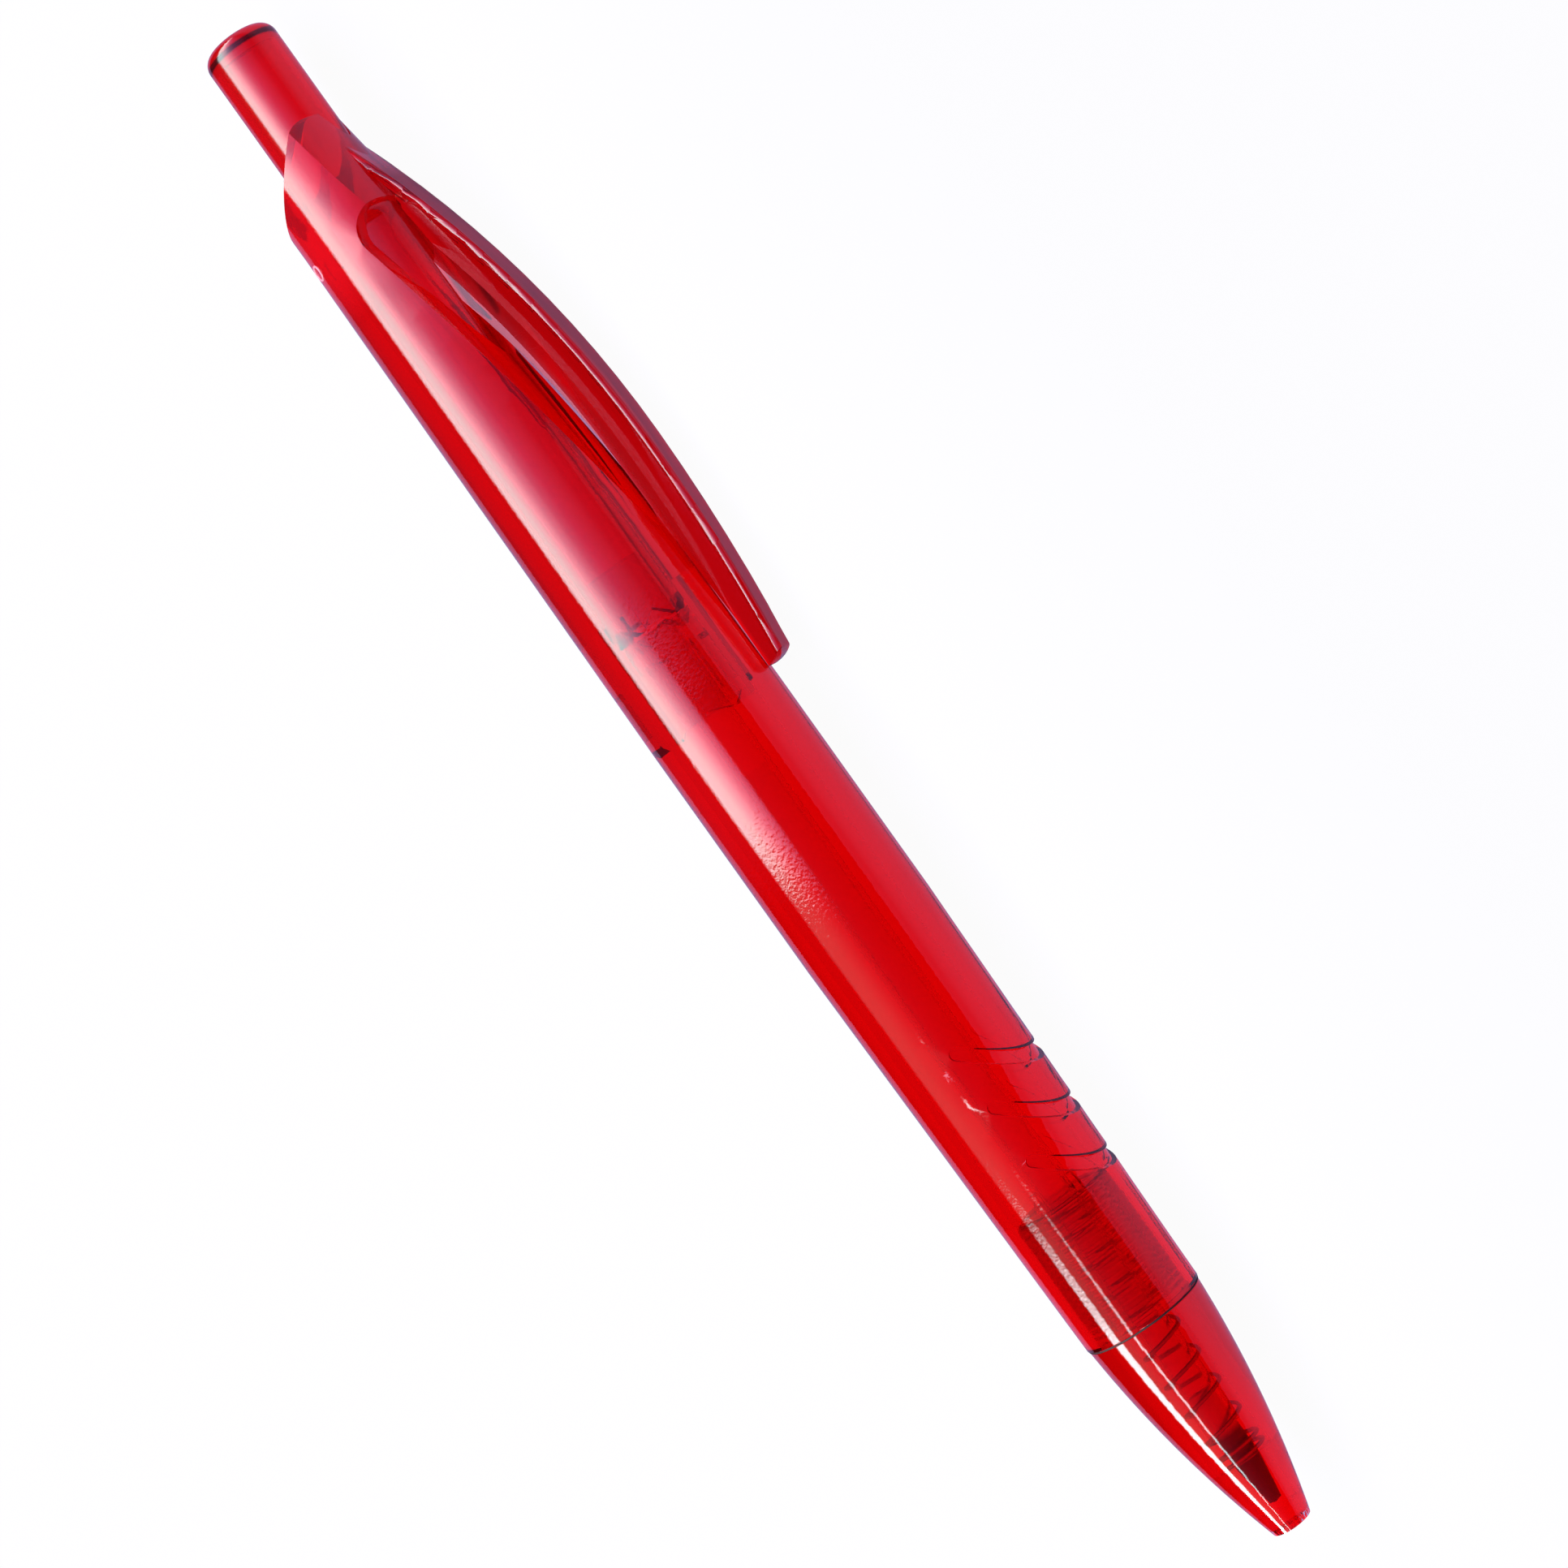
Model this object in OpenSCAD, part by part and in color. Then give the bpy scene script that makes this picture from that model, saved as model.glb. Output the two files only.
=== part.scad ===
// Pushbutton ballpoint pen in translucent plastic, lying at rest on its barrel and its clip.
// The pieces are drawn upright on the pen's own axis: z runs from the nose end to the button,
// x points at the clip, and lie_down() lays each piece along the row's X axis.

/* [Barrel] */
// Radius of the straight stretch of the barrel
barrel_r = 5.72; // [5.6:0.01:6]
// Radius of the barrel where it meets the nose cone
barrel_front_r = 5.17; // [5.1:0.01:5.4]
// Radius of the barrel at its slanted collar
barrel_rear_r = 5.36; // [5.3:0.01:5.5]
// Length of the barrel from the nose cone to the heel of the collar
barrel_len = 104.55; // [103:0.05:108]
// Length of the straight stretch that a holder can grip
straight_len = 20; // [15:0.5:24]
// Distance from the end of the clip to the straight stretch
straight_below_clip = 0.7; // [0.5:0.1:2]
// Slant of the collar's back against a square cut, in degrees
collar_slant = 44; // [42:1:48]
// Height of the collar's ridge over its heel
collar_top = 6.65; // [6.4:0.05:7]
// Rounding along the ridge and the heel of the collar
collar_round = 1.4; // [0.8:0.1:1.6]
// Height over the axis of the collar's front, level with the heel
collar_front_h = 3.8; // [3.7:0.05:4]
// Radius of the collar's rounded front
collar_front_r = 8; // [7:0.1:9]
// Lean of that front towards the axis, in degrees
collar_lean = 8.5; // [7:0.5:10]
// Edge break at the seam between barrel and nose cone
seam_break = 0.12; // [0.05:0.01:0.2]
// Radius of the round gate mark on the back of the barrel
gate_r = 0.85; // [0.5:0.05:1.2]
// Depth of the gate mark
gate_depth = 0.25; // [0.1:0.05:0.35]
// Distance from the heel of the collar to the gate mark
gate_below_heel = 3.05; // [2:0.05:5]

/* [Clip] */
// Height of the clip's crest over the barrel
clip_rise = 3.28; // [2.8:0.02:3.8]
// Distance from the heel of the collar to the crest
clip_crest_back = 27.95; // [26:0.05:30]
// Length of the clip from the heel of the collar to its end
clip_len = 47.55; // [45:0.05:50]
// Radius of the arc from the crest up to the collar
clip_root_arc = 85; // [80:1:92]
// Radius of the arc from the crest down to the end
clip_tip_arc = 150; // [120:1:200]
// Width of the clip at its root
clip_root_w = 4.7; // [4:0.1:5.4]
// Width of the clip at its end
clip_tip_w = 2.8; // [2.4:0.1:3.4]
// Gap between the clip's underside and the barrel
clip_gap = 0.2; // [0.15:0.01:0.4]
// Rounding along the clip's outer edges
clip_edge = 0.35; // [0.2:0.05:0.5]
// How far that rounding stands out from the clip's flanks
clip_bead = 0.05; // [0.03:0.01:0.08]
// Slope of the clip's flanks in from its outer edges, in degrees
clip_draft = 26.1; // [20:0.1:28]
// Depth below the outer face at which the clip is narrowest
clip_waist = 2.3; // [2.1:0.05:2.5]
// Depth over which it widens again to its foot
clip_flare = 0.8; // [0.6:0.05:1]
// Radius of the clip's end seen from the side
clip_end_round = 1.6; // [1.4:0.1:2]
// Height over the clip's underside of that round's centre
clip_end_lift = 0.55; // [0.4:0.05:0.8]
// Radius of the clip's end seen from above
clip_end_bow = 1.9; // [1.8:0.1:3]
// Distance that the clip's outer face runs past the heel of the collar
clip_root_past = 4.8; // [4.6:0.1:5.2]
// Length of the underside's rise out of the neck
clip_rise_len = 16.3; // [14:0.1:18]
// Distance from the heel of the collar to the top of that rise
clip_rise_back = 30; // [28:0.1:32]

/* [Scoop under the clip] */
// Radius of the neck that the scoop leaves round the bore
neck_r = 4; // [3.9:0.01:4.2]
// Distance from the heel of the collar to the scoop's end wall
scoop_back = 1.55; // [1:0.05:2.5]
// Length of the scoop
scoop_len = 42.7; // [41:0.1:44]
// Height over the axis at which the scoop's floor starts
scoop_start_h = 1; // [0.8:0.05:1.2]
// Radius of the floor's long sweep
scoop_sweep = 165; // [150:1:180]
// Rounding between the scoop's floor and its end wall
scoop_round = 2.4; // [1.8:0.1:2.8]
// Draft of the scoop's walls, in degrees
scoop_draft = 12; // [6:1:16]
// Fillet between the neck and the scoop's end wall
neck_fillet = 1.1; // [0.6:0.1:1.2]

/* [Grip grooves] */
// Number of slanted grooves
groove_count = 3; // [2:1:4]
// Distance between grooves along the axis
groove_pitch = 4.95; // [4.5:0.05:5.5]
// Width of a groove
groove_w = 1; // [0.7:0.05:1.3]
// Depth of a groove
groove_depth = 0.28; // [0.15:0.01:0.35]
// Slant of a groove against a square cut, in degrees
groove_slant = 43; // [30:1:48]
// Height over the axis at which a groove ends
groove_end_h = 1.5; // [1:0.1:2.5]
// Distance from the seam to the lowest groove's end
groove_from_seam = 15.2; // [14:0.1:17]

/* [Nose cone] */
// Length of the nose cone that shows
nose_len = 19.7; // [18.5:0.1:21]
// Step from the barrel's edge in to the nose cone's edge
nose_step = 0.1; // [0.02:0.01:0.15]
// Radius that the nose's outline runs to at its end
nose_tip_r = 1.69; // [1.6:0.01:1.9]
// Radius of the long arc of the nose
nose_arc = 91; // [80:1:110]
// Rounding of the nose's rim
nose_rim = 0.7; // [0.5:0.05:0.8]
// Radius of the hole that the tip comes out of
exit_r = 1.2; // [1.17:0.01:1.25]
// Length of that hole
exit_len = 2; // [1.6:0.1:2.4]
// Length of the spigot inside the barrel
spigot_len = 11.2; // [9:0.1:12]
// Radius of the spigot
spigot_r = 4.2; // [4:0.05:4.3]
// Clearance round the spigot
spigot_gap = 0.05; // [0.03:0.01:0.1]
// Radius of the spring chamber
chamber_r = 2.3; // [2.25:0.01:2.5]
// Height of the spring's seat over the nose end
seat_z = 6.6; // [6:0.1:7]
// Relief at the inner end of the spigot
spigot_relief = 0.3; // [0.1:0.05:0.5]

/* [Push button] */
// Radius of the button and of its thrust tube
button_r = 3.07; // [3:0.01:3.1]
// Distance from the heel of the collar to the button's top
button_reach = 15.75; // [14.5:0.05:17]
// Bore of the thrust tube
button_bore_r = 2.35; // [2.3:0.01:2.45]
// Thickness of the button's end wall
button_end = 2; // [1.2:0.1:3]
// Rounding of the button's rim
button_rim = 1.1; // [0.6:0.1:1.2]
// Radius of the button's domed top
button_dome = 9; // [7:1:15]
// Clearance of the thrust tube in the barrel
button_gap = 0.08; // [0.05:0.01:0.1]
// How far the button goes in
press_travel = 6.8; // [6:0.1:7]

/* [Click mechanism] */
// Number of guide ribs in the barrel
guide_count = 3;
// Distance from the heel of the collar to the top of the guide grooves
guide_back = 37.85; // [36:0.05:39]
// Length of the guide ribs
guide_len = 10.5; // [10:0.1:11]
// Width of a guide rib, in degrees
guide_arc = 60; // [52:1:60]
// Turn of the first guide rib from the clip, in degrees
guide_turn = -50; // [-60:1:60]
// Bore of the barrel below the guide ribs
bore_r = 3.75; // [3.7:0.01:3.85]
// Slant of the lower end of a guide rib, in degrees
guide_slant = 24; // [20:1:30]
// Clearance of keys and ribs in the grooves, all round
rib_gap = 0.12; // [0.1:0.01:0.2]
// Length of a key on the thrust tube
key_len = 1.4; // [1:0.1:1.8]
// Width of a key, in degrees
key_arc = 26; // [20:1:30]
// Distance from the top of the grooves to the cam teeth
teeth_below_guide = 2.1; // [1.9:0.1:2.4]
// Number of cam teeth
tooth_count = 6;
// Depth of a cam tooth
tooth_depth = 1.2; // [0.8:0.1:1.4]
// Gap between the two rings of teeth at rest
tooth_gap = 0.08; // [0.05:0.01:0.15]
// Radius of the rotor's hub inside the thrust tube
hub_r = 2.2; // [2.1:0.01:2.25]
// Length of the hub
hub_len = 5.6; // [4:0.1:7]
// Radius of the rotor below its teeth
rotor_r = 2.5; // [2.4:0.01:2.6]
// Length of the rotor below its teeth
rotor_len = 7.8; // [7:0.1:8.5]
// Length of a rotor rib
rotor_rib_len = 4.2; // [3.6:0.1:4.6]
// Width of a rotor rib, in degrees
rotor_rib_arc = 24; // [20:1:24]
// Turn of a rotor rib from the middle of its groove at rest, in degrees
rotor_rest_turn = 15; // [12:1:16]
// Length of the toothed shoulder of the rotor
shoulder_len = 2.4; // [2:0.1:2.6]
// Clearance of the refill in the rotor
refill_gap = 0.08; // [0.05:0.01:0.1]

/* [Refill] */
// Radius of the ink tube
tube_r = 1.5; // [1.45:0.01:1.52]
// Wall of the ink tube
tube_wall = 0.45; // [0.35:0.01:0.5]
// Distance from the nose end to the writing point, retracted
tip_back = 2.43; // [2:0.05:2.8]
// Length of the metal tip outside the tube
tip_len = 7.07; // [6.9:0.05:7.3]
// Length of the tip's cone
tip_cone = 3.9; // [3.4:0.1:4.2]
// Radius of the tip's shank
tip_r = 1.1; // [1.05:0.01:1.12]
// Length of the tip's tail inside the tube
tip_tail = 3.5; // [2.5:0.1:4.5]
// Radius of the ink channel through the tip
feed_r = 0.3; // [0.2:0.05:0.35]
// Radius of the writing ball
ball_r = 0.5; // [0.45:0.01:0.55]
// Clearance of the ball in its seat
ball_gap = 0.02; // [0.01:0.005:0.03]
// Share of the ball's radius that stands out of the tip
ball_out = 0.32; // [0.28:0.01:0.36]
// Wall of the tip's lip round the ball
lip_wall = 0.06; // [0.04:0.01:0.1]
// Clearance of ink and tail in the tube
fill_gap = 0.02; // [0.01:0.01:0.04]
// Length of the ink column
ink_len = 58; // [20:1:66]
// Half span of the ears that the spring pushes on
ear_r = 2.05; // [1.95:0.01:2.1]
// Thickness of the ears
ear_w = 0.9; // [0.6:0.1:1.2]
// Height of the ears
ear_len = 1.3; // [0.8:0.1:1.8]

/* [Return spring] */
// Thickness of the spring's wire
wire_d = 0.36; // [0.3:0.02:0.38]
// Radius of the coil at the middle of the wire
coil_r = 1.9; // [1.88:0.01:1.94]
// Length of the spring between its seats
spring_len = 24.2; // [22:0.1:25]
// Number of open turns
open_turns = 8; // [6:1:10]
// Number of closed turns at each end
closed_turns = 1.5; // [1:0.5:2]
// Gap between the wires of the closed turns
closed_gap = 0.46; // [0.44:0.01:0.6]
// Gap between the spring and what it sits on
spring_seat_gap = 0.02; // [0.01:0.01:0.05]

/* [Hidden] */

$fn = 96;
// Facets of the long arcs and of the clip's edges, and how far cutters run past what they cut
arc_fn = 1440;
edge_fn = 32;
past = 1;
wide = 7 * barrel_r;
sink = 0.2;
heel_edge = 0.05;

red = "#d5101c";
deep_red = "#b40a18";
bright_red = "#e8202a";
ink_red = "#a00010";
steel = "#8a8c90";
brass = "#9a9078";

// Heights along the axis
seam_z = nose_len;
heel_z = seam_z + barrel_len;
pen_len = heel_z + button_reach;
crest_z = heel_z - clip_crest_back;
clip_end_z = heel_z - clip_len;
straight_top_z = clip_end_z - straight_below_clip;
straight_low_z = straight_top_z - straight_len;
scoop_z = heel_z - scoop_back;
guide_top_z = heel_z - guide_back;
guide_low_z = guide_top_z - guide_len;
teeth_z = guide_top_z - teeth_below_guide;
spigot_top_z = seam_z + spigot_len;
tube_front_z = tip_back + tip_len;
tube_top_z = teeth_z - tooth_gap - sink;
ear_z = seat_z + spring_len;

// Radii that fit each other
collar_bore_r = button_r + button_gap;
rib_r = bore_r - rib_gap;
crest_h = barrel_r + clip_rise;
under_h = barrel_r + clip_gap;
tube_bore_r = tube_r - tube_wall;
nose_base_r = barrel_front_r - nose_step;
tube_way_r = tube_r + rib_gap;
clip_foot_h = sqrt(neck_r * neck_r - clip_root_w * clip_root_w / 4) - 2 * sink;

// Half width and lean of the clip, and the roll at which barrel and clip both touch the ground
clip_taper = atan((clip_root_w - clip_tip_w) / 2 / (clip_len - scoop_back));
crest_half_w = clip_root_w / 2 - (scoop_z - crest_z) * tan(clip_taper);
edge_h = crest_h - clip_edge;
edge_w = crest_half_w - clip_edge;
rest_roll = asin((barrel_r - clip_edge) / norm([edge_h, edge_w])) - atan(edge_w / edge_h);
clip_reach = edge_h * cos(rest_roll) + edge_w * sin(rest_roll) + clip_edge;

// Angles of the guide ribs and of the grooves between them
guide_turns = [for (i = [0 : guide_count - 1]) guide_turn + i * 360 / guide_count];
groove_turns = [for (turn = guide_turns) turn + 180 / guide_count];

// Lays a piece on the ground, along the X axis, with its box centred over the origin
module lie_down() {
    translate([-pen_len / 2, (clip_reach - barrel_r) / 2, barrel_r])
        rotate([rest_roll - 90, 0, 0])
            rotate([0, 90, 0])
                children();
}

// Turns a side view, drawn as [height over the axis, distance along it], into a cut through the pen
module side_view(width) {
    rotate([90, 0, 0])
        linear_extrude(height = width, center = true)
            children();
}

// Takes a corner off a side view and puts a round of radius r about centre in its place
module round_corner(r, centre, corner) {
    difference() {
        children();
        polygon(concat([centre], corner));
    }
    translate(centre)
        circle(r = r);
}

// Point at distance r from centre, in the direction of p
function towards(centre, p, r) = centre + (p - centre) / norm(p - centre) * r;

// Height of the circle round centre at a distance z along the axis
function height_at(centre, r, z) = centre[0] + sqrt(r * r - (z - centre[1]) * (z - centre[1]));

// Sector of a ring, between two angles about the axis
module ring_sector(r0, r1, z0, z1, middle, arc) {
    far = 2 * r1;
    intersection() {
        translate([0, 0, z0])
            difference() {
                cylinder(r = r1, h = z1 - z0);
                translate([0, 0, -past])
                    cylinder(r = r0, h = z1 - z0 + 2 * past);
            }
        translate([0, 0, z0 - past])
            rotate(middle)
                linear_extrude(height = z1 - z0 + 2 * past)
                    polygon([
                        [0, 0],
                        [far * cos(arc / 2), -far * sin(arc / 2)],
                        [far * cos(arc / 2), far * sin(arc / 2)]
                    ]);
    }
}

// Collar: a slanted back with a rounded heel and ridge, seen from the side and drawn from the heel's level
slant = [cos(collar_slant), sin(collar_slant)];
slant_out = [-sin(collar_slant), cos(collar_slant)];
heel = [-barrel_rear_r, 0];
slant_in = heel - collar_round * slant_out;
heel_mid = slant_in + (collar_round * (1 - slant[1]) - heel_edge) / slant[0] * slant;
ridge_mid = slant_in + (collar_top - collar_round - slant_in[1]) / slant[1] * slant;
ridge_top = heel + collar_top / slant[1] * slant;

module collar_view() {
    ridge = [ridge_mid + collar_round * slant_out, ridge_top, [ridge_mid[0], collar_top]];
    back = [[-wide, heel_mid[1]], [-wide, wide], heel_mid + collar_round * slant_out];
    low_z = seam_z - past - heel_z;
    translate([0, heel_z])
        round_corner(collar_round, heel_mid, back)
            round_corner(collar_round, ridge_mid, ridge)
                polygon([
                    [-wide, low_z],
                    [wide, low_z],
                    [wide, collar_top],
                    ridge_top,
                    heel - wide * slant
                ]);
}

// Room for the barrel: all of it below the collar, and the collar's leaning round front above
module collar_room() {
    translate([-wide, -wide, seam_z - past])
        cube([2 * wide, 2 * wide, scoop_z - neck_fillet - sink - seam_z + past]);
    translate([collar_front_h - collar_front_r / cos(collar_lean), 0, heel_z])
        rotate([0, -collar_lean, 0])
            translate([0, 0, -barrel_r])
                cylinder(r = collar_front_r, h = 3 * barrel_r);
}

module barrel_body() {
    rotate_extrude()
        polygon([
            [0, seam_z],
            [barrel_front_r - seam_break, seam_z],
            [barrel_front_r, seam_z + seam_break],
            [barrel_r, straight_low_z],
            [barrel_r, straight_top_z],
            [barrel_rear_r, scoop_z],
            [barrel_rear_r, pen_len],
            [0, pen_len]
        ]);
}

// Scoop: a long sweep that leaves the barrel near the clip's end and ends in a round wall at the collar
sweep_low = [scoop_start_h, scoop_z];
sweep_high = [barrel_r, scoop_z - scoop_len];
sweep_half = (sweep_high - sweep_low) / 2;
sweep_out = [sweep_half[1], -sweep_half[0]] / norm(sweep_half);
sweep_centre = sweep_low + sweep_half + sweep_out * sqrt(scoop_sweep * scoop_sweep - sweep_half * sweep_half);

module scoop_view() {
    mid_z = scoop_z - scoop_round;
    mid = [height_at(sweep_centre, scoop_sweep + scoop_round, mid_z), mid_z];
    corner = [[mid[0], scoop_z], sweep_low - [past, 0], towards(sweep_centre, mid, scoop_sweep)];
    difference() {
        round_corner(scoop_round, mid, corner)
            translate([scoop_start_h - past, scoop_z - scoop_len])
                square([wide, scoop_len]);
        translate(sweep_centre)
            circle(r = scoop_sweep, $fn = arc_fn);
    }
}

module scoop() {
    for (side = [0, 1])
        mirror([0, side, 0])
            rotate([0, 0, scoop_draft])
                translate([0, wide / 2 - barrel_r, 0])
                    side_view(wide)
                        scoop_view();
}

module neck() {
    rotate_extrude() {
        translate([0, straight_top_z])
            square([neck_r, scoop_z - straight_top_z + past]);
        difference() {
            translate([0, scoop_z - neck_fillet])
                square([neck_r + neck_fillet, neck_fillet + sink]);
            translate([neck_r + neck_fillet, scoop_z - neck_fillet])
                circle(r = neck_fillet);
        }
    }
}

// One half of the clip along one arc: outer face, rounded edge, waist and foot, swept from the crest
module clip_sweep(r, angle) {
    depth = ceil(crest_h - clip_foot_h);
    mid = [r - clip_edge, crest_half_w - clip_edge];
    flank_w = crest_half_w - clip_bead;
    waist_w = flank_w - (clip_waist - clip_edge) * tan(clip_draft);
    translate([crest_h - r, 0, 0])
        rotate([90, 0, 0])
            rotate_extrude(angle = angle, $fn = arc_fn) {
                polygon([
                    [r - depth, -past],
                    [r, -past],
                    [r, mid[1]],
                    mid,
                    [mid[0], flank_w],
                    [r - clip_waist, waist_w],
                    [r - clip_waist - clip_flare, flank_w],
                    [r - depth, flank_w]
                ]);
                translate(mid)
                    circle(r = clip_edge, $fn = edge_fn);
            }
}

// What the clip's half is cut back to underneath and at its end, seen from the side
module clip_under_view() {
    rise_drop = under_h - neck_r;
    rise_r = (clip_rise_len * clip_rise_len + rise_drop * rise_drop) / (2 * rise_drop);
    rise_z = heel_z - clip_rise_back;
    translate([-wide, clip_end_z - past])
        square([wide + under_h, rise_z - clip_end_z + past]);
    translate([-wide, rise_z])
        square([wide + clip_foot_h, scoop_z - rise_z + sink]);
    translate([-wide, scoop_z])
        square([wide + collar_bore_r / 2, wide]);
    intersection() {
        translate([under_h - rise_r, rise_z])
            circle(r = rise_r, $fn = arc_fn);
        translate([0, rise_z])
            square([wide, wide]);
    }
}

module clip_end_view(middle, r) {
    difference() {
        translate([middle - wide / 2, clip_end_z - wide])
            square([wide, wide + r]);
        translate([middle, clip_end_z + r])
            circle(r = r);
    }
}

module clip_half() {
    root_turn = asin((heel_z + clip_root_past - crest_z) / clip_root_arc);
    tip_turn = asin((crest_z - clip_end_z + past) / clip_tip_arc);
    difference() {
        translate([0, 0, crest_z])
            rotate([clip_taper, 0, 0]) {
                clip_sweep(clip_root_arc, root_turn);
                mirror([0, 0, 1])
                    clip_sweep(clip_tip_arc, tip_turn);
            }
        translate([-wide, 0, 0])
            cube([2 * wide, wide, pen_len]);
        side_view(wide)
            clip_under_view();
        side_view(wide)
            clip_end_view(under_h + clip_end_lift, clip_end_round);
        rotate([90, 0, 90])
            linear_extrude(height = wide)
                clip_end_view(0, clip_end_bow);
    }
}

module clip() {
    clip_half();
    mirror([0, 1, 0])
        clip_half();
}

// Slanted grooves on the clip's side of the grip, down to an even depth below the skin
module grip_grooves() {
    slope = (barrel_r - barrel_front_r) / (straight_low_z - seam_z - seam_break);
    difference() {
        side_view(wide)
            for (i = [0 : groove_count - 1])
                translate([groove_end_h, seam_z + groove_from_seam + i * groove_pitch])
                    rotate(-groove_slant) {
                        circle(d = groove_w);
                        translate([0, -groove_w / 2])
                            square([2 * barrel_r, groove_w]);
                    }
        rotate_extrude()
            polygon([
                [0, seam_z],
                [barrel_front_r - groove_depth - slope * seam_break, seam_z],
                [barrel_r - groove_depth, straight_low_z],
                [0, straight_low_z]
            ]);
    }
}

module gate_mark() {
    gate_ball = (gate_r * gate_r + gate_depth * gate_depth) / (2 * gate_depth);
    translate([-(barrel_rear_r - gate_depth + gate_ball), 0, heel_z - gate_below_heel])
        sphere(r = gate_ball);
}

module barrel_bore() {
    translate([0, 0, seam_z - past])
        cylinder(r = spigot_r + spigot_gap, h = spigot_len + spigot_relief + past);
    translate([0, 0, seam_z])
        cylinder(r = bore_r, h = guide_top_z - seam_z);
    translate([0, 0, seam_z])
        cylinder(r = collar_bore_r, h = pen_len - seam_z);
}

module guide_rib(turn) {
    mid_r = (collar_bore_r + bore_r) / 2;
    rotate(turn)
        difference() {
            ring_sector(collar_bore_r, bore_r + sink, guide_low_z, guide_top_z + sink, 0, guide_arc);
            translate([mid_r, 0, guide_low_z])
                rotate([-guide_slant, 0, 0])
                    translate([-mid_r, -wide / 2, -wide])
                        cube([wide, wide, wide]);
        }
}

module barrel() {
    color(red, 0.6)
        lie_down() {
            difference() {
                union() {
                    intersection() {
                        union() {
                            difference() {
                                barrel_body();
                                scoop();
                            }
                            neck();
                        }
                        side_view(wide)
                            collar_view();
                        collar_room();
                    }
                    clip();
                }
                barrel_bore();
                grip_grooves();
                gate_mark();
            }
            for (turn = guide_turns)
                guide_rib(turn);
        }
}

// Nose cone: one long arc from the seam to the rim, drawn as [radius, height]
nose_low = [nose_tip_r, 0];
nose_half = ([nose_base_r, seam_z] - nose_low) / 2;
nose_in = [-nose_half[1], nose_half[0]] / norm(nose_half);
nose_centre = nose_low + nose_half + nose_in * sqrt(nose_arc * nose_arc - nose_half * nose_half);

module nose_outline() {
    rim_mid = [height_at(nose_centre, nose_arc - nose_rim, nose_rim), nose_rim];
    rim = [[rim_mid[0], 0], nose_low, towards(nose_centre, rim_mid, nose_arc)];
    round_corner(nose_rim, rim_mid, rim)
        intersection() {
            polygon([
                [0, 0],
                [nose_base_r, 0],
                [nose_base_r, seam_z - seam_break],
                [nose_base_r - seam_break, seam_z],
                [0, seam_z]
            ]);
            translate(nose_centre)
                circle(r = nose_arc, $fn = arc_fn);
        }
    polygon([
        [0, seam_z - sink],
        [spigot_r, seam_z - sink],
        [spigot_r, spigot_top_z - spigot_relief],
        [spigot_r - spigot_relief, spigot_top_z],
        [0, spigot_top_z]
    ]);
}

module nose_cone() {
    color(red, 0.6)
        lie_down()
            difference() {
                rotate_extrude()
                    nose_outline();
                translate([0, 0, -past])
                    cylinder(r = exit_r, h = pen_len);
                translate([0, 0, exit_len])
                    cylinder(r = tube_way_r, h = pen_len);
                translate([0, 0, seat_z])
                    cylinder(r = chamber_r, h = pen_len);
            }
}

// Ring of notches that leaves cam teeth on a face at z = 0
module tooth_notches(up) {
    pitch_w = 2 * PI * button_bore_r / tooth_count;
    for (i = [0 : tooth_count - 1])
        rotate(i * 360 / tooth_count)
            rotate([90, 0, 90])
                linear_extrude(height = wide)
                    polygon([
                        [-pitch_w / 2, -up * past / 100],
                        [pitch_w / 2, -up * past / 100],
                        [0, up * tooth_depth]
                    ]);
}

module button_outline() {
    dome_centre = [0, pen_len - button_dome];
    rim_r = button_r - button_rim;
    reach = button_dome - button_rim;
    rim_mid = [rim_r, dome_centre[1] + sqrt(reach * reach - rim_r * rim_r)];
    rim = [
        [button_r, rim_mid[1]],
        [button_r, pen_len],
        towards(dome_centre, rim_mid, button_dome)
    ];
    round_corner(button_rim, rim_mid, rim)
        intersection() {
            translate([0, teeth_z])
                square([button_r, pen_len - teeth_z]);
            union() {
                translate(dome_centre)
                    circle(r = button_dome, $fn = arc_fn);
                translate([0, teeth_z])
                    square([button_r, dome_centre[1] - teeth_z]);
            }
        }
}

module push_button() {
    color(bright_red, 0.6)
        lie_down() {
            difference() {
                rotate_extrude()
                    button_outline();
                translate([0, 0, teeth_z - past])
                    cylinder(r = button_bore_r, h = pen_len - button_end - teeth_z + past);
                translate([0, 0, teeth_z])
                    tooth_notches(1);
            }
            for (turn = groove_turns)
                ring_sector(
                    button_r - sink,
                    rib_r,
                    guide_top_z - rib_gap - key_len,
                    guide_top_z - rib_gap,
                    turn,
                    key_arc
                );
        }
}

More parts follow.
